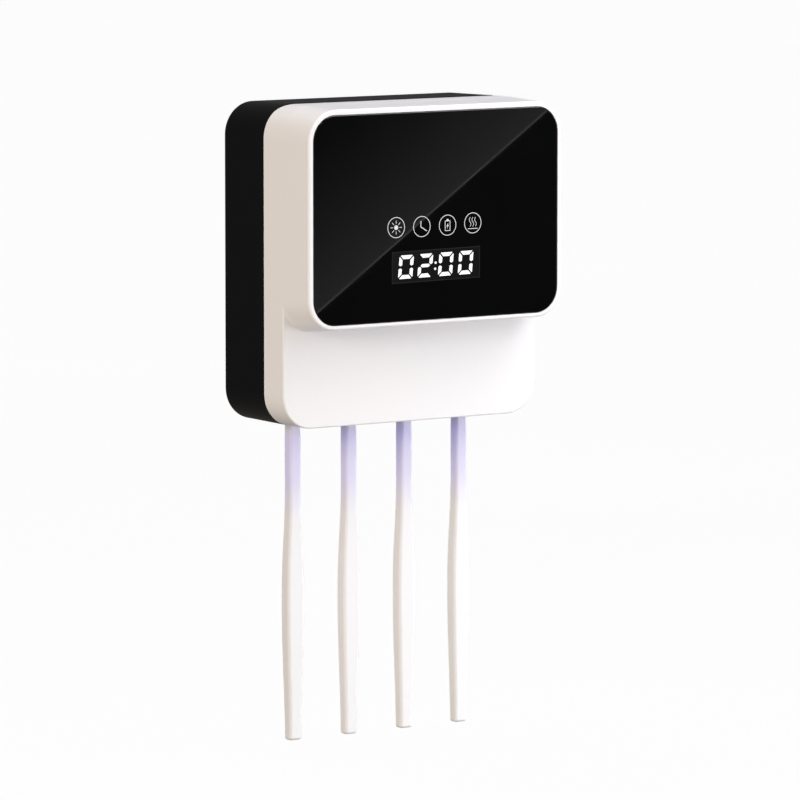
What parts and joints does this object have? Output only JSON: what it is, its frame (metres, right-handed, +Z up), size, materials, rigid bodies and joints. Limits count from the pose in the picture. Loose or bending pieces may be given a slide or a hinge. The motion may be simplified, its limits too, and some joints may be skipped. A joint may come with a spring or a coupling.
{
  "type": "toothbrush sanitizer",
  "caption": "Wall-hung toothbrush sanitizer: black base with open neck slots, white flip-up front with a protruding glossy display panel, and hanging toothbrushes.",
  "frame": {"origin": "centre of the wall bracket's back face, which lies against the wall", "axes": "+X to the right seen from the front, +Y into the wall, +Z up; the display faces -Y"},
  "size_m": [0.15, 0.0759, 0.3144],
  "materials": {
    "shell_white": "moulded, satin gloss",
    "shell_black": "moulded, fine satin",
    "panel_black": "polished black panel",
    "inner_white": "moulded, fine matte",
    "rack_white": "moulded, satin",
    "clear_lens": "clear",
    "seal_rubber": "soft matte",
    "white_rubber": "soft matte",
    "foam_black": "closed-cell foam",
    "pad_grey": "adhesive foam",
    "circuit_green": "solder mask",
    "lamp_housing": "lamp package",
    "bright_sheet": "polished",
    "steel": "plated",
    "magnet_nickel": "nickel plated",
    "spring_steel": "bright wire",
    "fan_black": "moulded",
    "heater_alloy": "thin fins",
    "copper_winding": "lacquered wire",
    "cell_wrap": "shrink wrap",
    "bracket_grey": "moulded",
    "brush_white": "moulded, satin gloss",
    "bristle_white": "nylon filament"
  },
  "bodies": {
    "bracket": {"wall_bracket": "bracket_grey", "adhesive_pads": "pad_grey"},
    "base": {"rear_shell": "shell_black", "bumper_pads": "seal_rubber", "brush_rack": "rack_white", "rack_screws": "steel", "reflector_sheet": "bright_sheet", "base_magnets": "magnet_nickel", "sensor_magnet": "magnet_nickel"},
    "cover": {"front_shell": "shell_white", "display_glass": "panel_black", "glass_gasket": "foam_black", "inner_cover": "inner_white", "uv_window": "clear_lens", "uv_board": "circuit_green", "uv_leds": "lamp_housing", "uv_reflector": "bright_sheet", "cover_seal": "seal_rubber", "cover_magnets": "magnet_nickel", "digit_module": "inner_white", "icon_light_guide": "clear_lens", "touch_springs": "spring_steel", "display_board": "circuit_green", "main_board": "circuit_green", "buzzer": "fan_black", "reed_switch": "clear_lens", "charge_port": "steel", "battery_cell": "cell_wrap", "battery_holder": "fan_black", "battery_contacts": "spring_steel", "fan_housing": "fan_black", "fan_stator": "copper_winding", "heater": "heater_alloy", "inner_cover_screws": "steel", "board_screws": "steel", "uv_board_screws": "steel", "fan_screws": "steel", "hinge_pins": "steel"},
    "fan": {"fan_rotor": "fan_black"},
    "plug": {"port_plug": "white_rubber"},
    "brush_1": {"brush_1_handle": "brush_white", "brush_1_bristles": "bristle_white"},
    "brush_2": {"brush_2_handle": "brush_white", "brush_2_bristles": "bristle_white"},
    "brush_3": {"brush_3_handle": "brush_white", "brush_3_bristles": "bristle_white"},
    "brush_4": {"brush_4_handle": "brush_white", "brush_4_bristles": "bristle_white"}
  },
  "joints": [
    {"name": "unit_lift", "type": "slide", "parent": "bracket", "child": "base", "axis": [0, 0, 1], "range_m": [0, 0.012]},
    {"name": "cover_hinge", "type": "hinge", "parent": "base", "child": "cover", "pos_m": [0, -0.04115, 0.0743], "axis": [-1, 0, 0], "range_deg": [0, 80]},
    {"name": "fan_spin", "type": "hinge", "parent": "cover", "child": "fan", "pos_m": [0.038, -0.049, -0.0045], "axis": [0, 1, 0], "continuous": true},
    {"name": "port_plug_pull", "type": "slide", "parent": "cover", "child": "plug", "axis": [1, 0, 0], "range_m": [0, 0.005]},
    {"name": "brush_1_lift", "type": "slide", "parent": "base", "child": "brush_1", "axis": [0, 0, 1], "range_m": [0, 0.04]},
    {"name": "brush_2_lift", "type": "slide", "parent": "base", "child": "brush_2", "axis": [0, 0, 1], "range_m": [0, 0.04]},
    {"name": "brush_3_lift", "type": "slide", "parent": "base", "child": "brush_3", "axis": [0, 0, 1], "range_m": [0, 0.04]},
    {"name": "brush_4_lift", "type": "slide", "parent": "base", "child": "brush_4", "axis": [0, 0, 1], "range_m": [0, 0.04]}
  ]
}
